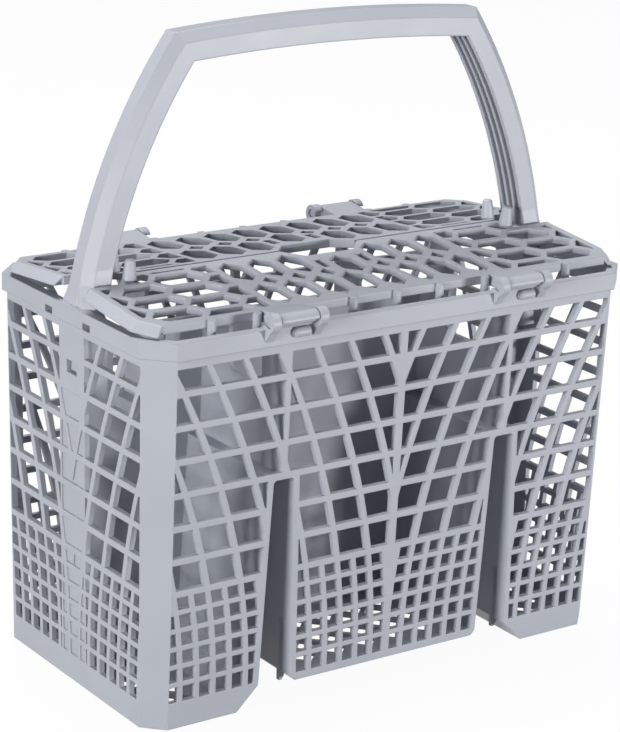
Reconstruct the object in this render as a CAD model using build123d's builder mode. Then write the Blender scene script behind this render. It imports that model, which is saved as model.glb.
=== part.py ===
"""Cutlery basket for a dishwasher: moulded tub, snap-in carry handle and two hinged lids.

Millimetres. +Z is up, X runs along the basket, the origin is on the floor under the middle.
"""
import os
from math import cos, radians, sin, sqrt, tan

from build123d import *

os.makedirs("parts", exist_ok=True)

# Tub shell: sizes over the rim lip, walls that lean in towards the feet
RIM_L = 216.0
RIM_W = 116.6
TUB_H = 146.0
WALL = 2.2
DRAFT = 1.2
CORNER = 9.2
LIP_H = 6.5
LIP_OUT = 1.6
RIM_BAND = 10.0
FLOOR_Z = 7.2
FLOOR = 2.2

# Wall lattice: a small square grid below, slanted bars in taller rows above
GRID_Z = 10.2
GRID_ROWS = 6
PITCH = 7.0
GRID_BAR = 2.0
ROW_H = 12.45
ROW_BAR = 2.5
SLANT_BAR = 2.4
SWEEP = 31.2
FAN = 0.075
MID_RIB = 3.2
SLOT_RIB = 2.0
POST_EDGE = 0.3
MIN_CELL = 2.5
LONG_FIRST = -7
END_FIRST = -5.5

# Slots that run under the tub from front to back
SLOT_X = 50.2
SLOT_H = 88.0
SLOT_TOP_W = 9.0
SLOT_LOW_W = 14.4
SLOT_ROUND = 1.6
LINING = 1.8
SLOT_EDGE = 0.4
FOOT_CUT = 9.0
STAY_Y = 47.3
STAY_W = 1.6
STAY_OUT = 1.3
STAY_TOP = 30.0
STAY_DROP = 1.6

# Walls inside, with a dip in the top of each
DIVIDER = 1.8
DIVIDER_DROP = 11.0
DIP_W = 22.0
DIP_LONG_Z = 102.0
DIP_CROSS_Z = 119.0
DIP_ROUND = 5.0

# Diamond holes in the floor
HOLE_PITCH = 14.0
HOLE_BAR = 2.0
FLOOR_EDGE = 2.5

# Plain panel in the middle of each end wall, which takes the handle
PANEL_W = 17.5
LATCH_Z = 120.2
LATCH_W = 7.0
LATCH_H = 4.8
PANEL_DEPTH = 0.7
VENT_Y = 13.3
VENT_W = 5.2
VENT_H = 2.6
VENT_DROP = 4.8
GUIDE_T = 1.8
GUIDE_FIT = 0.3
GUIDE_LOW = 6.0

# Carry handle: an arch, hollow towards the inside
HANDLE_TOP = 244.0
HANDLE_RISE = 3.0
HANDLE_X = 67.2
HANDLE_FOOT_IN = 1.6
HANDLE_BOW = 6.6
HANDLE_W = 13.6
HANDLE_T = 10.6
HANDLE_CHAMFER = 3.6
HANDLE_SKIN = 3.2
HANDLE_SIDE = 1.9
HANDLE_RIB = 1.4
SADDLE_W = 20.4
SADDLE_H = 13.0
SADDLE_INSET = 0.3
TONGUE_T = 7.0
TONGUE_W = 12.0
TONGUE_LOW = 118.0
TONGUE_FIT = 0.2
TONGUE_UP = 5.0
LATCH_FIT = 0.5
LATCH_IN = 1.6

# Hinges on the long sides of the rim
HINGE_X = 50.7
HINGE_W = 23.6
EAR_T = 3.4
EAR_R = 3.6
AXIS_OUT = 1.6
AXIS_UP = 2.8
PIN_D = 3.6
PIN_FIT = 0.06
PIN_END = 0.8
MOUTH = 2.8
KNUCKLE_FIT = 0.5
KNUCKLE_R = 3.0
KNUCKLE_UP = 0.35
GUSSET_H = 4.6
NUB_R = 1.9
NUB_L = 6.8
NUB_X = 3.2
NUB_OUT = 0.6
NUB_DROP = 2.3
NUB_EDGE = 0.7

# Lids: two sloping honeycomb plates that meet over the middle
LID_GAP = 1.2
LID_RIDGE = 154.7
LID_SLOPE = 5.0
LID_T = 2.4
LID_END = 3.6
LID_REACH = 49.6
LID_CORNER_X = 5.0
LID_CORNER_Y = 8.0
LID_RIM_H = 3.2
LID_RIM_T = 2.4
SKIRT_OUT = 3.2
SKIRT_H = 3.4
SKIRT_T = 1.8
SKIRT_BACK = 2.2
POST_R = 1.5
POST_PITCH = 19.4
POST_END_X = 79.7
POST_OUT = 0.8
POST_BESIDE = 10.2
POST_DROP = 3.6
LEG_GAP_X = 4.0
LEG_GAP_Y = 2.2
LEG_SLANT = 6.2
LEG_RIM = 1.6
THUMB_W = 35.0
THUMB_D = 7.4
THUMB_SLANT = 6.5
THUMB_RIM = 1.6
PEG_D = 5.4
PEG_TIP = 3.6
PEG_H = 7.5
PEG_V = 5.0
PEG_EDGE = 0.6
PEG_ROUND = 1.0

# Honeycomb of the lids
COMB_BAR = 2.4
COMB_PITCH = 12.7
COMB_LEN = 19.4
COMB_SIDE = 10.4
COMB_HALF = 50.8
COMB_ROW = 12.6
COMB_ROW_PITCH = 23.4
DIAMOND = 6.8
END_PITCH_X = 19.3
END_PITCH_Y = 12.2
END_SLANT = 5.0
END_X = 68.7
END_Y = 1.2
LID_EDGE = 2.6
COMB_SLOT_X = 9.6
COMB_SLOT_Y = -16.2
COMB_SLOT_W = 3.4
COMB_SLOT_L = 7.8
COMB_MID_Y = -19.3
COMB_MID_W = 10.4
COMB_MID_L = 18.0
MIN_HOLE = 8.0

RIM_Z = TUB_H - RIM_BAND
GRID_TOP = GRID_Z + GRID_ROWS * PITCH
FLOOR_TOP = FLOOR_Z + LINING
DIVIDER_TOP = TUB_H - DIVIDER_DROP
AXIS_Y = RIM_W / 2 + AXIS_OUT
AXIS_Z = TUB_H + AXIS_UP
HANDLE_FOOT_X = RIM_L / 2 - HANDLE_FOOT_IN
LID_X = RIM_L / 2 - LID_END
LEG_X = HANDLE_FOOT_X - HANDLE_T - LEG_GAP_X
LEG_V = HANDLE_W / 2 + LEG_GAP_Y - LID_GAP / 2
LID_FALL = radians(LID_SLOPE)
LID_PLANE = Plane((0, -LID_GAP / 2, LID_RIDGE), x_dir=(1, 0, 0), z_dir=(0, -sin(LID_FALL), cos(LID_FALL)))
POST_L = (LID_RIDGE - LID_REACH * sin(LID_FALL) - TUB_H + POST_DROP) / cos(LID_FALL)
PEG_X = LEG_X - LEG_SLANT * (1 - PEG_V / LEG_V) - PEG_D / 2 - PEG_EDGE
GROOVE_W = (HANDLE_W - 2 * HANDLE_SIDE - 2 * HANDLE_RIB) / 3
GROOVE_PITCH = GROOVE_W + HANDLE_RIB
EAR_MID = (HINGE_W - EAR_T) / 2
NUB_Y = RIM_W / 2 + NUB_OUT
TONGUE_X = RIM_L / 2 - LIP_OUT - (TUB_H - TONGUE_LOW) * tan(radians(DRAFT)) - WALL - TONGUE_FIT
GUIDE_D = TONGUE_T + WALL
GUIDE_X = TONGUE_X + TONGUE_FIT + WALL / 2 - GUIDE_D / 2


def lean(z):
    """How far the walls have moved in at height z, counted from the rim."""
    return (TUB_H - z) * tan(radians(DRAFT))


def half_length(z):
    return RIM_L / 2 - LIP_OUT - lean(z)


def half_width(z):
    return RIM_W / 2 - LIP_OUT - lean(z)


def corner(z):
    """Length of the corner cut along a side: it shrinks as the walls move in."""
    return CORNER - lean(z) * (2 - sqrt(2))


def slot_half(z):
    """Half width of a slot, which widens towards the floor."""
    share = (SLOT_H - z) / (SLOT_H - GRID_Z)
    return (SLOT_TOP_W + share * (SLOT_LOW_W - SLOT_TOP_W)) / 2


def slant_x(step, z):
    """Distance from the middle of the bar that stands on grid line step, at height z."""
    share = ((z - GRID_Z) / (RIM_Z - GRID_Z)) ** 2
    return step * PITCH + share * (SWEEP + FAN * step * PITCH)


def area(points):
    pairs = zip(points, points[1:] + points[:1])
    return abs(sum(a[0] * b[1] - b[0] * a[1] for a, b in pairs)) / 2


def trim(points, low, high, keep):
    """Cut a convex outline by the line low-high and keep its left (-1) or right (1) part."""

    def side(p):
        turn = (high[0] - low[0]) * (p[1] - low[1]) - (high[1] - low[1]) * (p[0] - low[0])
        return -keep * turn

    kept = []
    for a, b in zip(points, points[1:] + points[:1]):
        da, db = side(a), side(b)
        if da >= 0:
            kept.append(a)
        if da * db < 0:
            share = da / (da - db)
            kept.append((a[0] + share * (b[0] - a[0]), a[1] + share * (b[1] - a[1])))
    return kept


def lattice_rows():
    """Openings between level bars: bottom, top, step between upright bars and their width."""
    rows = []
    for row in range(GRID_ROWS):
        low = GRID_Z + row * PITCH + (GRID_BAR / 2 if row else 0)
        bar = GRID_BAR if row < GRID_ROWS - 1 else ROW_BAR
        rows.append((low, GRID_Z + (row + 1) * PITCH - bar / 2, 1, GRID_BAR))
    low = GRID_TOP
    while low + ROW_BAR < RIM_Z:
        high = low + ROW_H - ROW_BAR / 2 if low + ROW_H + ROW_BAR < RIM_Z else RIM_Z
        rows.append((low + ROW_BAR / 2, high, 2, SLANT_BAR))
        low += ROW_H
    return rows


def lattice_cells(row, first, inner, outer):
    """Openings of one row between the edges inner(z) and outer(z), from grid line first on."""
    low, high, step, bar = row
    cells = []
    for number in range(0, int(RIM_L / PITCH), step):
        left, right = first + number, first + number + step
        cell = [
            (slant_x(left, low) + bar / 2, low),
            (slant_x(right, low) - bar / 2, low),
            (slant_x(right, high) - bar / 2, high),
            (slant_x(left, high) + bar / 2, high),
        ]
        cell = trim(cell, (inner(low), low), (inner(high), high), 1)
        cell = trim(cell, (outer(low), low), (outer(high), high), -1)
        if len(cell) > 2 and area(cell) > MIN_CELL:
            cells.append(cell)
    return cells


def long_wall_cells():
    """Openings in the right half of a long wall, beside and above its slot."""
    cells = []
    for row in lattice_rows():
        post = lambda z: half_length(z) - corner(z) - POST_EDGE
        rib = SLOT_RIB / 2 if row[0] > SLOT_H else None
        near = lambda z: SLOT_X - (rib or slot_half(z) + LINING + SLOT_EDGE)
        far = lambda z: SLOT_X + (rib or slot_half(z) + LINING + SLOT_EDGE)
        cells += lattice_cells(row, LONG_FIRST, lambda z: MID_RIB / 2, near)
        cells += lattice_cells(row, LONG_FIRST, far, post)
    return cells


def end_wall_cells():
    """Openings in half of an end wall, beside its plain panel."""
    cells = []
    for row in lattice_rows():
        post = lambda z: half_width(z) - corner(z) - POST_EDGE
        cells += lattice_cells(row, END_FIRST, lambda z: PANEL_W / 2, post)
    return cells


def panel_cells():
    """Shallow cells in half of a panel, which carry the lattice on below the latch."""
    cells = []
    for row in lattice_rows():
        if row[1] < LATCH_Z - LATCH_H:
            cells += lattice_cells(row, END_FIRST, lambda z: 0, lambda z: (PANEL_W - GRID_BAR) / 2)
    return cells


def end_face(side):
    """Plane on the outer face of an end wall, with its own y up the wall."""
    out = (side * cos(radians(DRAFT)), 0, -sin(radians(DRAFT)))
    return Plane((side * half_length(0), 0, 0), x_dir=(0, side, 0), z_dir=out)


def outlines(cells):
    return [Polygon(*cell, align=None, mode=Mode.PRIVATE) for cell in cells]


def wall_planes(inset):
    """Planes of the four walls and four corner cuts, moved in by inset."""
    across = (RIM_L / 2 + RIM_W / 2 - 2 * LIP_OUT - CORNER) / sqrt(2)
    fall = -sin(radians(DRAFT))
    flat = cos(radians(DRAFT))
    for turn in range(8):
        dx, dy = cos(radians(45 * turn)), sin(radians(45 * turn))
        reach = across
        if turn % 4 == 0:
            reach = half_length(TUB_H)
        elif turn % 2 == 0:
            reach = half_width(TUB_H)
        at = Vector(dx, dy, 0) * (reach - inset) + Vector(0, 0, TUB_H)
        yield Plane(at, z_dir=(dx * flat, dy * flat, fall))


def leaning_block(inset, low, high):
    """Solid eight-sided block that fills the tub wall, or the space inside it."""
    with BuildPart() as block:
        with BuildSketch(Plane.XY.offset(low)):
            Rectangle(RIM_L, RIM_W)
        extrude(amount=high - low)
        for plane in wall_planes(inset):
            split(bisect_by=plane, keep=Keep.BOTTOM)
    return block.part


def floor_holes():
    """Diamonds in the back half of the floor, in rows that step by half a pitch."""
    reach = HOLE_PITCH / 2 - HOLE_BAR / sqrt(2)
    y_low = DIVIDER / 2 + FLOOR_EDGE
    y_high = half_width(0) - WALL - FLOOR_EDGE
    slot_in = SLOT_X - slot_half(FLOOR_Z) - LINING - FLOOR_EDGE
    slot_out = SLOT_X + slot_half(FLOOR_Z) + LINING + FOOT_CUT + FLOOR_EDGE
    end = half_length(0) - WALL - FLOOR_EDGE
    holes = []
    for x_low, x_high in ((-end, -slot_out), (-slot_in, slot_in), (slot_out, end)):
        across = int((x_high - x_low - 2 * reach) / HOLE_PITCH) + 1
        rows = int((y_high - y_low - 2 * reach) / (HOLE_PITCH / 2)) + 1
        for row in range(rows):
            y = (y_low + y_high + (row - (rows - 1) / 2) * HOLE_PITCH) / 2
            for place in range(across - row % 2):
                x = (x_low + x_high) / 2 + (place - (across - 1 - row % 2) / 2) * HOLE_PITCH
                holes.append([(x + reach, y), (x, y + reach), (x - reach, y), (x, y - reach)])
    return holes


def under_cut():
    """Right half of the space under the middle section, with the slot that rises from it."""
    foot = SLOT_X + slot_half(FOOT_CUT)
    return [
        (0, -FLOOR_Z),
        (foot + FOOT_CUT + FLOOR_Z, -FLOOR_Z),
        (foot, FOOT_CUT),
        (SLOT_X + slot_half(SLOT_H), SLOT_H),
        (SLOT_X - slot_half(SLOT_H), SLOT_H),
        (SLOT_X - slot_half(FLOOR_TOP), FLOOR_TOP),
        (SLOT_X - slot_half(FLOOR_TOP) - LINING, FLOOR_Z),
        (0, FLOOR_Z),
    ]


def stay_points(side):
    """Rib on one wall of the right slot, from under the floor up to where it fades out."""
    low = FLOOR_Z - STAY_DROP
    wall = SLOT_X + side * (slot_half(FLOOR_TOP) + LINING / 2)
    face = SLOT_X + side * (slot_half(FLOOR_TOP) - STAY_OUT)
    return [
        (wall, FLOOR_Z),
        (wall - side * LINING / 2, low),
        (face, low),
        (SLOT_X + side * (slot_half(STAY_TOP) - STAY_OUT), STAY_TOP - STAY_OUT),
        (SLOT_X + side * (slot_half(STAY_TOP) + LINING / 2), STAY_TOP + LINING),
    ]


def ear_points():
    """Web of a hinge ear: from the hinge axis down to the face of the rim lip."""
    low = TUB_H - GUSSET_H
    return [
        (AXIS_Y + EAR_R, AXIS_Z),
        (AXIS_Y - EAR_R, AXIS_Z),
        (RIM_W / 2 - LIP_OUT, TUB_H),
        (RIM_W / 2 - LIP_OUT, low),
        (RIM_W / 2, low),
    ]


def lid_right():
    """Right half of a lid's outline, in its own plane, from the ridge round to the hinge edge."""
    return [
        (0, 0),
        (LEG_X - LEG_SLANT, 0),
        (LEG_X, -LEG_V),
        (LID_X, -LEG_V),
        (LID_X, LID_CORNER_Y - LID_REACH),
        (LID_X - LID_CORNER_X, -LID_REACH),
        (0, -LID_REACH),
    ]


def thumb_points(grow):
    """Outline of the thumb notch in the ridge edge, grown by a wall."""
    top = THUMB_W / 2 + grow
    low = THUMB_W / 2 - THUMB_SLANT + grow
    return [(top, 0), (low, -THUMB_D - grow), (-low, -THUMB_D - grow), (-top, 0)]


def tall_hexagon(x, y, width, length):
    """Hexagon with points up and down and upright sides."""
    side = length * COMB_SIDE / COMB_LEN
    return [
        (x, y + length / 2),
        (x - width / 2, y + side / 2),
        (x - width / 2, y - side / 2),
        (x, y - length / 2),
        (x + width / 2, y - side / 2),
        (x + width / 2, y + side / 2),
    ]


def middle_comb():
    """Openings right of the middle: two rows of hexagons and the diamonds between them."""
    width = COMB_PITCH - COMB_BAR
    half = DIAMOND / 2
    cells = []
    for number in range(int(COMB_HALF / COMB_PITCH)):
        x = (number + 0.5) * COMB_PITCH
        cells.append(tall_hexagon(x, -COMB_ROW - COMB_ROW_PITCH, width, COMB_LEN))
        if number:
            cells.append(tall_hexagon(x, -COMB_ROW, width, COMB_LEN))
            x, y = number * COMB_PITCH, -COMB_ROW - COMB_ROW_PITCH / 2
            cells.append([(x, y + half), (x - half, y), (x, y - half), (x + half, y)])
    return cells


def end_comb():
    """Openings of the right end: hexagons that lie along the lid, trimmed to its frame."""
    half = END_PITCH_Y / 2
    tip = (END_PITCH_X + END_SLANT) / 2 - COMB_BAR / 2 * sqrt(1 + (END_SLANT / half) ** 2)
    high = half - COMB_BAR / 2
    flat = tip - END_SLANT * high / half
    left = COMB_HALF + COMB_BAR / 2
    right = LID_X - LID_EDGE
    low = LID_EDGE - LID_REACH
    cut = (LID_X - LID_CORNER_X - LID_EDGE, -LID_REACH), (LID_X - LID_EDGE, LID_CORNER_Y - LID_REACH)
    leg = (LEG_X - LID_EDGE, -LEG_V), (LEG_X - LEG_SLANT - LID_EDGE, 0)
    cells = []
    for column in range(4):
        x = END_X + (column - 1) * END_PITCH_X
        for row in range(5):
            y = END_Y - (row + (column + 1) % 2 / 2) * END_PITCH_Y
            cell = [(x + tip, y), (x + flat, y + high), (x - flat, y + high)]
            cell += [(x - tip, y), (x - flat, y - high), (x + flat, y - high)]
            cell = trim(cell, (left, low), (left, 0), 1)
            cell = trim(cell, (right, low), (right, 0), -1)
            cell = trim(cell, (0, low), (LID_X, low), -1)
            cell = trim(cell, (0, -LID_EDGE), (LID_X, -LID_EDGE), 1)
            cell = trim(cell, *cut, -1)
            if x > LEG_X:
                cell = trim(cell, (0, -LEG_V - LID_EDGE), (LID_X, -LEG_V - LID_EDGE), 1)
            else:
                cell = trim(cell, *leg, -1)
            if len(cell) > 2 and area(cell) > MIN_HOLE:
                cells.append(cell)
    return cells


def skirt_block(inset):
    """Solid under the right end of a lid, sloping out and down past its edge."""
    dx, dy = LID_CORNER_Y, -LID_CORNER_X
    across = sqrt(dx**2 + dy**2)
    dx, dy = dx / across, dy / across
    start = (LID_X - LID_CORNER_X, -LID_REACH)
    with BuildPart() as block:
        with BuildSketch(LID_PLANE):
            with Locations((LID_X + SKIRT_OUT, -LEG_V)):
                Rectangle(
                    2 * LID_CORNER_X + SKIRT_OUT,
                    LID_REACH + SKIRT_OUT - LEG_V,
                    align=(Align.MAX, Align.MAX),
                )
        extrude(amount=-SKIRT_H)
        for at, out in (((LID_X, 0), (1, 0)), (start, (dx, dy))):
            origin = LID_PLANE.from_local_coords(Vector(at[0] - inset * out[0], at[1] - inset * out[1], 0))
            slope = Vector(out[0] * SKIRT_H, out[1] * SKIRT_H, SKIRT_OUT)
            normal = LID_PLANE.from_local_coords(slope) - LID_PLANE.origin
            split(bisect_by=Plane(origin, z_dir=normal), keep=Keep.BOTTOM)
        for at, away in ((start, (dy, -dx, 0)), ((LID_X, -LEG_V), (0, SKIRT_H, -SKIRT_BACK))):
            origin = LID_PLANE.from_local_coords(Vector(*at, 0))
            normal = LID_PLANE.from_local_coords(Vector(*away)) - LID_PLANE.origin
            split(bisect_by=Plane(origin, z_dir=normal), keep=Keep.BOTTOM)
    return block.part


def arch_band(near, far):
    """Strip that follows the handle's outer line, between two depths inside it."""
    with BuildSketch(mode=Mode.PRIVATE) as strip:
        for depth, mode in ((far, Mode.ADD), (near, Mode.SUBTRACT)):
            if depth:
                with BuildLine():
                    arch_line()
                    offset(amount=depth, side=Side.RIGHT, kind=Kind.INTERSECTION)
                make_face(mode=mode)
    return strip.sketch


def arch_line():
    """Outer line of the handle: two bowed legs and a nearly level top."""
    ThreePointArc((-foot[0], foot[1]), (-bow[0], bow[1]), (-knee[0], knee[1]))
    ThreePointArc((-knee[0], knee[1]), (0, HANDLE_TOP), knee)
    ThreePointArc(knee, bow, foot)


def on_arch(edge):
    """True for the long edges along the outer face of the handle."""
    low, high = edge.bounding_box().min, edge.bounding_box().max
    tall = max(abs(low.X), abs(high.X))
    return high.Y - low.Y < 1 and (high.Z > HANDLE_TOP - HANDLE_T / 2 or tall > HANDLE_FOOT_X - HANDLE_T / 4)


def saddle_points(share):
    """Plan of the right foot, from the rim (share 0) up to the plain leg (share 1)."""
    rise = share * SADDLE_H / (HANDLE_TOP - HANDLE_RISE - TUB_H)
    out = HANDLE_FOOT_X - SADDLE_INSET - (HANDLE_FOOT_X - HANDLE_X) * rise
    out += 4 * HANDLE_BOW * rise * (1 - rise)
    half = HANDLE_W / 2 + (SADDLE_W - HANDLE_W) / 2 * (1 - share) ** 2
    near = [(out - HANDLE_T, -half), (out - HANDLE_CHAMFER, -half), (out, HANDLE_CHAMFER - half)]
    return near + [(x, -y) for x, y in reversed(near)]


def latch_points():
    """Side view of the right latch tab, set back from the end wall's outer face."""
    low, high = LATCH_Z + LATCH_FIT, LATCH_Z + LATCH_H - LATCH_FIT
    return [
        (TONGUE_X - TONGUE_T / 2, low),
        (half_length(LATCH_Z) - LATCH_IN, low),
        (half_length(LATCH_Z) - LATCH_IN, high),
        (TONGUE_X - TONGUE_T / 2, high),
    ]


def post_places():
    """Places of the guide posts along the hinge edge of the front lid."""
    beside = [x - POST_BESIDE for x in (-HINGE_X, HINGE_X)]
    return [-POST_END_X, -POST_PITCH, 0, POST_PITCH, POST_END_X] + beside


def knuckle_points():
    """Side view of a lid's hinge plate, from its edge bar out over the rim to the pin."""
    bar = LID_GAP / 2 + (LID_REACH - LID_RIM_T / 2) * cos(LID_FALL)
    top = LID_RIDGE - (LID_REACH - LID_RIM_T / 2) * sin(LID_FALL)
    low = TUB_H + KNUCKLE_UP
    return [(-bar, low), (-AXIS_Y, low), (-AXIS_Y, AXIS_Z + KNUCKLE_R), (-bar, top)]


# Inner walls: one along the middle, one over each slot, and the lining of the slots and the raised floor
shell_block = leaning_block(0, 0, TUB_H)
hollow_block = leaning_block(WALL, FLOOR, TUB_H)
with BuildPart() as inner_walls:
    with BuildSketch(Plane.XZ):
        with Locations((0, DIVIDER_TOP / 2)):
            Rectangle(RIM_L, DIVIDER_TOP)
        dip_x = (SLOT_X + half_length(DIVIDER_TOP)) / 2
        for x in (-dip_x, dip_x):
            with Locations((x, DIP_LONG_Z + TUB_H / 2)):
                RectangleRounded(DIP_W, TUB_H, DIP_ROUND, mode=Mode.SUBTRACT)
        for x in (-RIM_L / 2, RIM_L / 2):
            with Locations((x, TONGUE_LOW + TUB_H / 2)):
                Rectangle(4 * TONGUE_T, TUB_H, mode=Mode.SUBTRACT)
    extrude(amount=DIVIDER / 2, both=True)
    with BuildSketch(Plane.YZ.offset(-SLOT_X), Plane.YZ.offset(SLOT_X)):
        with Locations((0, (SLOT_H + DIVIDER_TOP) / 2)):
            Rectangle(RIM_W, DIVIDER_TOP - SLOT_H)
        for y in (-RIM_W / 4, RIM_W / 4):
            with Locations((y, DIP_CROSS_Z + TUB_H / 2)):
                RectangleRounded(DIP_W, TUB_H, DIP_ROUND, mode=Mode.SUBTRACT)
    extrude(amount=DIVIDER / 2, both=True)
    with BuildSketch(Plane.XZ):
        Polygon(*under_cut(), align=None)
        mirror(about=Plane.YZ)
        offset(amount=LINING, kind=Kind.INTERSECTION)
    extrude(amount=RIM_W, both=True)
    add(shell_block, mode=Mode.INTERSECT)

# Stop under each hinge: a short bar with softened ends
with BuildPart() as nub:
    Cylinder(NUB_R, NUB_L, rotation=(0, 90, 0))
    chamfer(nub.edges().filter_by(GeomType.CIRCLE), NUB_EDGE)

# Tub: the lattice is cut last, one side's wall at a time, so the inner walls stay whole
with BuildPart() as tub:
    add(shell_block)
    with BuildSketch(Plane.XY.offset(TUB_H - LIP_H)):
        Rectangle(RIM_L, RIM_W)
        chamfer(vertices(), CORNER + LIP_OUT * (2 - sqrt(2)))
    extrude(amount=LIP_H)
    add(hollow_block, mode=Mode.SUBTRACT)
    add(inner_walls.part)
    with BuildSketch():
        add(outlines(floor_holes()))
        mirror(about=Plane.XZ)
    extrude(amount=FLOOR_TOP, mode=Mode.SUBTRACT)
    with BuildSketch(Plane.XZ):
        Polygon(*under_cut(), align=None)
        fillet(vertices().group_by(Axis.Y)[-1], SLOT_ROUND)
        mirror(about=Plane.YZ)
    extrude(amount=RIM_W, both=True, mode=Mode.SUBTRACT)
    with BuildSketch(Plane.XZ.offset(-STAY_Y), Plane.XZ.offset(STAY_Y)):
        Polygon(*stay_points(-1), align=None)
        Polygon(*stay_points(1), align=None)
        mirror(about=Plane.YZ)
    extrude(amount=STAY_W / 2, both=True)
    with BuildSketch(Plane.XY.offset(TONGUE_LOW - GUIDE_LOW)):
        with Locations((GUIDE_X, TONGUE_W / 2 + GUIDE_FIT + GUIDE_T / 2)):
            Rectangle(GUIDE_D, GUIDE_T)
        mirror(about=Plane.XZ)
        mirror(about=Plane.YZ)
    extrude(amount=RIM_Z - TONGUE_LOW + GUIDE_LOW)
    ears = [Plane.YZ.offset(x + side * EAR_MID) for x in (-HINGE_X, HINGE_X) for side in (-1, 1)]
    with BuildSketch(*ears):
        Polygon(*ear_points(), align=None)
        with Locations((AXIS_Y, AXIS_Z)):
            Circle(EAR_R)
            Circle(PIN_D / 2 + PIN_FIT, mode=Mode.SUBTRACT)
        with Locations((AXIS_Y - EAR_R, AXIS_Z)):
            Rectangle(2 * EAR_R, MOUTH, mode=Mode.SUBTRACT)
        mirror(about=Plane.YZ)
    extrude(amount=EAR_T / 2, both=True)
    for x in (-HINGE_X, HINGE_X):
        for side in (-1, 1):
            with Locations((x - side * NUB_X, side * NUB_Y, TUB_H - NUB_DROP)):
                add(nub.part)
    low_y = half_width(GRID_Z) - 2 * WALL
    with BuildSketch(Plane.XZ.offset(-RIM_W / 2), Plane.XZ.offset(RIM_W / 2)):
        add(outlines(long_wall_cells()))
        mirror(about=Plane.YZ)
    extrude(amount=RIM_W / 2 - low_y, both=True, mode=Mode.SUBTRACT)
    low_x = half_length(GRID_Z) - 2 * WALL
    with BuildSketch(Plane.YZ.offset(-RIM_L / 2), Plane.YZ.offset(RIM_L / 2)):
        add(outlines(end_wall_cells()))
        with Locations((VENT_Y, TUB_H - VENT_DROP)):
            Rectangle(VENT_W, VENT_H)
        mirror(about=Plane.YZ)
        with Locations((0, LATCH_Z + LATCH_H / 2)):
            Rectangle(LATCH_W, LATCH_H)
    extrude(amount=RIM_L / 2 - low_x, both=True, mode=Mode.SUBTRACT)
    with BuildSketch(end_face(-1), end_face(1)):
        add(outlines(panel_cells()))
        mirror(about=Plane.YZ)
    extrude(amount=PANEL_DEPTH, both=True, mode=Mode.SUBTRACT)

tub.part.label = "basket_tub"
export_step(tub.part, "parts/basket_tub.step")

# Flared foot of the handle, which stands on the rim
with BuildPart() as saddle:
    for share in (0, 0.3, 0.6, 1):
        with BuildSketch(Plane.XY.offset(TUB_H + share * SADDLE_H)):
            Polygon(*saddle_points(share), align=None)
    loft(ruled=True)

# Carry handle: its feet stand on the rim and its tongues reach down inside the end walls
foot = (HANDLE_FOOT_X, TUB_H)
knee = (HANDLE_X, HANDLE_TOP - HANDLE_RISE)
bow = ((foot[0] + knee[0]) / 2 + HANDLE_BOW, (foot[1] + knee[1]) / 2)
with BuildPart() as handle:
    with BuildSketch(Plane.XZ):
        add(arch_band(0, HANDLE_T))
    extrude(amount=HANDLE_W / 2, both=True)
    edges_out = [e for e in handle.edges() if on_arch(e)]
    chamfer(edges_out, HANDLE_CHAMFER)
    for y in (-GROOVE_PITCH, 0, GROOVE_PITCH):
        with BuildSketch(Plane.XZ.offset(y)):
            add(arch_band(HANDLE_SKIN, 2 * HANDLE_T))
        extrude(amount=GROOVE_W / 2, both=True, mode=Mode.SUBTRACT)
    split(bisect_by=Plane.XY.offset(TUB_H), keep=Keep.TOP)
    add(saddle.part)
    mirror(saddle.part, about=Plane.YZ)
    with BuildSketch(Plane.XY.offset(TONGUE_LOW + TONGUE_FIT)):
        with Locations((TONGUE_X - TONGUE_T / 2, 0)):
            Rectangle(TONGUE_T, TONGUE_W)
        mirror(about=Plane.YZ)
    extrude(amount=TUB_H + TONGUE_UP - TONGUE_LOW - TONGUE_FIT)
    with BuildSketch(Plane.XZ):
        Polygon(*latch_points(), align=None)
        mirror(about=Plane.YZ)
    extrude(amount=LATCH_W / 2 - LATCH_FIT, both=True)

handle.part.label = "carry_handle"
export_step(handle.part, "parts/carry_handle.step")

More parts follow.
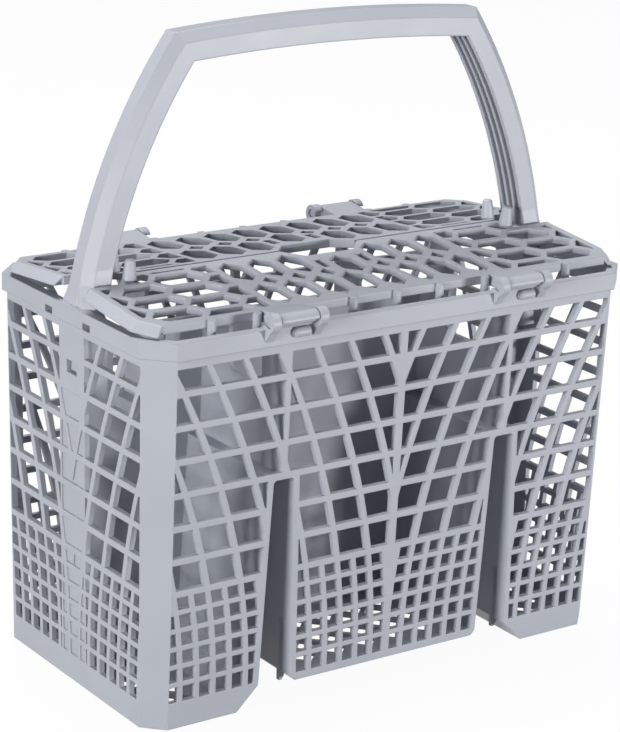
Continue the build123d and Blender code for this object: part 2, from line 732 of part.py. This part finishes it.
# Lids: the front one is made first and the rear one is the same part turned round
skirt = skirt_block(0) - skirt_block(SKIRT_T)
with BuildPart() as front_lid:
    with BuildSketch(LID_PLANE):
        Polygon(*lid_right(), align=None)
        mirror(about=Plane.YZ)
    extrude(amount=-LID_T)
    with BuildSketch(LID_PLANE):
        Polygon(*thumb_points(THUMB_RIM), align=None)
        with Locations((0, LID_RIM_T / 2 - LID_REACH)):
            Rectangle(2 * (LID_X - LID_CORNER_X), LID_RIM_T)
        for x in (-LID_X, LID_X):
            with Locations((x, -LEG_V)):
                Rectangle(LID_X - LEG_X, LEG_RIM, align=(Align.MIN if x < 0 else Align.MAX, Align.MAX))
    extrude(amount=-LID_RIM_H)
    with BuildSketch(LID_PLANE):
        add(outlines(middle_comb() + end_comb()))
        with Locations((COMB_SLOT_X, COMB_SLOT_Y)):
            Rectangle(COMB_SLOT_W, COMB_SLOT_L)
        mirror(about=Plane.YZ)
        add(outlines([tall_hexagon(0, COMB_MID_Y, COMB_MID_W, COMB_MID_L)]))
        Polygon(*thumb_points(0), align=None)
    extrude(amount=-LID_RIM_H, mode=Mode.SUBTRACT)
    add(skirt)
    mirror(skirt, about=Plane.YZ)
    with BuildSketch(LID_PLANE):
        for x in post_places():
            with Locations((x, -LID_REACH - POST_OUT)):
                Circle(POST_R)
    extrude(amount=-POST_L)
    for x in (-HINGE_X, HINGE_X):
        with BuildSketch(Plane.YZ.offset(x)):
            with Locations((-AXIS_Y, AXIS_Z)):
                Circle(KNUCKLE_R)
                Rectangle(2 * KNUCKLE_R, KNUCKLE_R, align=(Align.CENTER, Align.MAX), mode=Mode.SUBTRACT)
            Polygon(*knuckle_points(), align=None)
        extrude(amount=HINGE_W / 2 - EAR_T - KNUCKLE_FIT, both=True)
        with BuildSketch(Plane.YZ.offset(x)):
            with Locations((-AXIS_Y, AXIS_Z)):
                Circle(PIN_D / 2)
        extrude(amount=HINGE_W / 2 - PIN_END, both=True)
    for x in (-PEG_X, PEG_X):
        with Locations(LID_PLANE.location * Location((x, -PEG_V, 0))):
            Cone(PEG_D / 2, PEG_TIP / 2, PEG_H, align=(Align.CENTER, Align.CENTER, Align.MIN))
    fillet(front_lid.edges().group_by(Axis.Z)[-1], PEG_ROUND)

front_lid.part.label = "front_lid"
export_step(front_lid.part, "parts/front_lid.step")

with BuildPart() as rear_lid:
    add(front_lid.part.rotate(Axis.Z, 180))

rear_lid.part.label = "rear_lid"
export_step(rear_lid.part, "parts/rear_lid.step")
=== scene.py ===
"""Looks of the cutlery basket: moulded plastic, a pale studio floor and the photograph's camera."""

from math import cos, radians, sin

import bpy
from mathutils import Matrix, Vector

# Camera, in metres and degrees: a long lens above the front left corner
CAMERA_AT = Vector((-0.5505, -0.7687, 0.4069))
CAMERA_AZIMUTH = -35.54
CAMERA_ELEVATION = 17.59
CAMERA_ROLL = 2.27
LENS = 127.9
SENSOR = 36.0

# Plastic: one blue-grey, a shade lighter on the smooth handle
TUB_COLOUR = (0.440, 0.462, 0.515)
LID_COLOUR = (0.445, 0.467, 0.520)
HANDLE_COLOUR = (0.455, 0.475, 0.530)
# The third share is a painted highlight: how much paler the colour is painted along the edges
DARK_SHARE, PALE_SHARE, EDGE_HIGHLIGHT_SHARE = 0.95, 1.03, 1.35
PLASTIC_IOR = 1.49
SUBSURFACE = 0.06
SUBSURFACE_RADIUS = (0.0012, 0.0012, 0.0014)

# Roughness, depth of the grain and radius of the soft edges, in metres, of each finish
TUB_FINISH = (0.44, 0.10, 0.0006)
HANDLE_FINISH = (0.40, 0.05, 0.0008)
LID_FINISH = (0.43, 0.08, 0.0008)

# Floor: white to the camera, a darker grey to the light that bounces up from it
FLOOR_COLOUR = (0.93, 0.93, 0.93)
FLOOR_BOUNCE = (0.16, 0.16, 0.17)
FLOOR_SIZE = 14.0
FLOOR_GLOW = 0.95

# Lamps: place, side and power. The key is low, so that it fills the walls and leaves the lid openings dark
SKY = 0.06
AIM = (0, 0, 0.1)
KEY = ((0.85, -1.45, 0.16), 0.3, 19.0)
TOP = ((0.1, 0.5, 1.6), 0.8, 25.0)
FILL = ((-1.6, -0.45, 0.4), 0.6, 25.0)


def node(tree, kind, **values):
    """Adds a shader node and sets its properties and, by input name, its plain values."""
    made = tree.nodes.new(kind)
    for name, value in values.items():
        if hasattr(made, name):
            setattr(made, name, value)
        else:
            made.inputs[name.replace("_", " ")].default_value = value
    return made


def moulded_plastic(name, colour, roughness, grain, edge_radius):
    """Satin polypropylene: fine grain, faint flow marks and rounded edges with a painted highlight."""
    material = bpy.data.materials.new(name)
    material.use_nodes = True
    tree = material.node_tree
    link = tree.links.new
    shader = tree.nodes["Principled BSDF"]
    place = node(tree, "ShaderNodeTexCoord")

    # Faint cloudy shading from the way the plastic filled the mould
    flow = node(tree, "ShaderNodeTexNoise", Scale=22.0, Detail=3.0, Roughness=0.55)
    link(place.outputs["Object"], flow.inputs["Vector"])
    tone = node(tree, "ShaderNodeValToRGB")
    tone.color_ramp.elements[0].position = 0.3
    tone.color_ramp.elements[1].position = 0.7
    tone.color_ramp.elements[0].color = (*[c * DARK_SHARE for c in colour], 1)
    tone.color_ramp.elements[1].color = (*[c * PALE_SHARE for c in colour], 1)
    link(flow.outputs["Fac"], tone.inputs["Fac"])

    # Painted highlight: where the rounded normal leaves the face's own, the colour is painted paler,
    # standing in for light caught by the edges
    soft = node(tree, "ShaderNodeBevel", samples=6, Radius=edge_radius)
    face = node(tree, "ShaderNodeNewGeometry")
    turn = node(tree, "ShaderNodeVectorMath", operation="DOT_PRODUCT")
    link(soft.outputs["Normal"], turn.inputs[0])
    link(face.outputs["Normal"], turn.inputs[1])
    painted_edge_highlight = node(tree, "ShaderNodeMapRange", From_Min=0.995, From_Max=0.75, To_Min=0.0, To_Max=0.35)
    link(turn.outputs["Value"], painted_edge_highlight.inputs["Value"])
    highlighted = node(tree, "ShaderNodeMix", data_type="RGBA")
    link(painted_edge_highlight.outputs["Result"], highlighted.inputs["Factor"])
    link(tone.outputs["Color"], highlighted.inputs[6])
    # Painted highlight colour for the edges
    highlighted.inputs[7].default_value = (*[min(1.0, c * EDGE_HIGHLIGHT_SHARE) for c in colour], 1)
    link(highlighted.outputs[2], shader.inputs["Base Color"])

    # Gloss: slightly uneven, as on a part that has been through a tool many times
    wipe = node(tree, "ShaderNodeTexNoise", Scale=70.0, Detail=4.0, Roughness=0.6)
    link(place.outputs["Object"], wipe.inputs["Vector"])
    gloss = node(tree, "ShaderNodeMapRange", To_Min=roughness - 0.05, To_Max=roughness + 0.07)
    link(wipe.outputs["Fac"], gloss.inputs["Value"])
    link(gloss.outputs["Result"], shader.inputs["Roughness"])

    # Spark-eroded mould texture
    pits = node(tree, "ShaderNodeTexNoise", Scale=1500.0, Detail=2.0, Roughness=0.5)
    link(place.outputs["Object"], pits.inputs["Vector"])
    bump = node(tree, "ShaderNodeBump", Strength=grain, Distance=0.0002)
    link(pits.outputs["Fac"], bump.inputs["Height"])
    link(soft.outputs["Normal"], bump.inputs["Normal"])
    link(bump.outputs["Normal"], shader.inputs["Normal"])

    shader.inputs["IOR"].default_value = PLASTIC_IOR
    shader.inputs["Subsurface Weight"].default_value = SUBSURFACE
    shader.inputs["Subsurface Radius"].default_value = SUBSURFACE_RADIUS
    return material


def dress(name, material):
    """Gives a frame node its finish."""
    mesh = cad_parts[name].data
    mesh.materials.clear()
    mesh.materials.append(material)


def pale_floor():
    """Wide floor that shows near white and keeps the basket's shadow."""
    bpy.ops.mesh.primitive_plane_add(size=FLOOR_SIZE)
    floor = bpy.context.object
    floor.name = "studio_floor"
    material = bpy.data.materials.new("studio_floor")
    material.use_nodes = True
    tree = material.node_tree
    link = tree.links.new
    tree.nodes.remove(tree.nodes["Principled BSDF"])
    matte = node(tree, "ShaderNodeBsdfDiffuse")
    white = node(tree, "ShaderNodeEmission", Color=(1, 1, 1, 1), Strength=1.0)
    path = node(tree, "ShaderNodeLightPath")
    seen = node(tree, "ShaderNodeMath", operation="MAXIMUM")
    link(path.outputs["Is Camera Ray"], seen.inputs[0])
    link(path.outputs["Is Glossy Ray"], seen.inputs[1])
    tint = node(tree, "ShaderNodeMix", data_type="RGBA")
    tint.inputs[6].default_value = (*FLOOR_BOUNCE, 1)
    tint.inputs[7].default_value = (*FLOOR_COLOUR, 1)
    link(path.outputs["Is Camera Ray"], tint.inputs["Factor"])
    link(tint.outputs[2], matte.inputs["Color"])
    share = node(tree, "ShaderNodeMath", operation="MULTIPLY")
    share.inputs[1].default_value = FLOOR_GLOW
    link(seen.outputs["Value"], share.inputs[0])
    both = node(tree, "ShaderNodeMixShader")
    link(share.outputs["Value"], both.inputs["Fac"])
    link(matte.outputs["BSDF"], both.inputs[1])
    link(white.outputs["Emission"], both.inputs[2])
    link(both.outputs["Shader"], tree.nodes["Material Output"].inputs["Surface"])
    floor.data.materials.append(material)


def sky(strength):
    """Even white surround, which the camera sees as white."""
    world = bpy.data.worlds.new("studio")
    bpy.context.scene.world = world
    world.use_nodes = True
    tree = world.node_tree
    light = tree.nodes["Background"]
    light.inputs["Color"].default_value = (1, 1, 1, 1)
    path = node(tree, "ShaderNodeLightPath")
    seen = node(tree, "ShaderNodeMapRange", To_Min=strength, To_Max=1.0)
    tree.links.new(path.outputs["Is Camera Ray"], seen.inputs["Value"])
    tree.links.new(seen.outputs["Result"], light.inputs["Strength"])


def softbox(name, at, size, power):
    """Square area lamp that faces the basket."""
    lamp = bpy.data.lights.new(name, "AREA")
    lamp.shape = "SQUARE"
    lamp.size = size
    lamp.energy = power
    thing = bpy.data.objects.new(name, lamp)
    thing.location = at
    thing.rotation_euler = (Vector(AIM) - Vector(at)).to_track_quat("-Z", "Y").to_euler()
    bpy.context.scene.collection.objects.link(thing)


def photo_camera():
    """Camera at the photograph's place, tilted a little about its own axis."""
    azimuth, elevation = radians(CAMERA_AZIMUTH), radians(CAMERA_ELEVATION)
    back = Vector((sin(azimuth) * cos(elevation), -cos(azimuth) * cos(elevation), sin(elevation)))
    right = (-back).cross(Vector((0, 0, 1))).normalized()
    up = right.cross(-back)
    c, s = cos(radians(CAMERA_ROLL)), sin(radians(CAMERA_ROLL))
    turned = Matrix((c * right + s * up, c * up - s * right, back)).transposed()
    data = bpy.data.cameras.new("photo_camera")
    data.sensor_fit = "VERTICAL"
    data.sensor_height = SENSOR
    data.lens = LENS
    data.clip_end = 50.0
    camera = bpy.data.objects.new("photo_camera", data)
    camera.matrix_world = Matrix.Translation(CAMERA_AT) @ turned.to_4x4()
    bpy.context.scene.collection.objects.link(camera)
    bpy.context.scene.camera = camera


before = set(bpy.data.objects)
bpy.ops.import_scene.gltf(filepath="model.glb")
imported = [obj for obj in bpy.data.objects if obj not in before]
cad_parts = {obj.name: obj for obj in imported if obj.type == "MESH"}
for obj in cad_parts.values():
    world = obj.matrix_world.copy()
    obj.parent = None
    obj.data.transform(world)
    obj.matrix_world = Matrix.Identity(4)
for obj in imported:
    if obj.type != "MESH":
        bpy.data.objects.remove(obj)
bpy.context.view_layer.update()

dress("basket_tub", moulded_plastic("tub_plastic", TUB_COLOUR, *TUB_FINISH))
dress("carry_handle", moulded_plastic("handle_plastic", HANDLE_COLOUR, *HANDLE_FINISH))
lid_plastic = moulded_plastic("lid_plastic", LID_COLOUR, *LID_FINISH)
dress("front_lid", lid_plastic)
dress("rear_lid", lid_plastic)

pale_floor()
sky(SKY)
softbox("key", *KEY)
softbox("top", *TOP)
softbox("fill", *FILL)
photo_camera()

bpy.context.scene.view_settings.view_transform = "Standard"
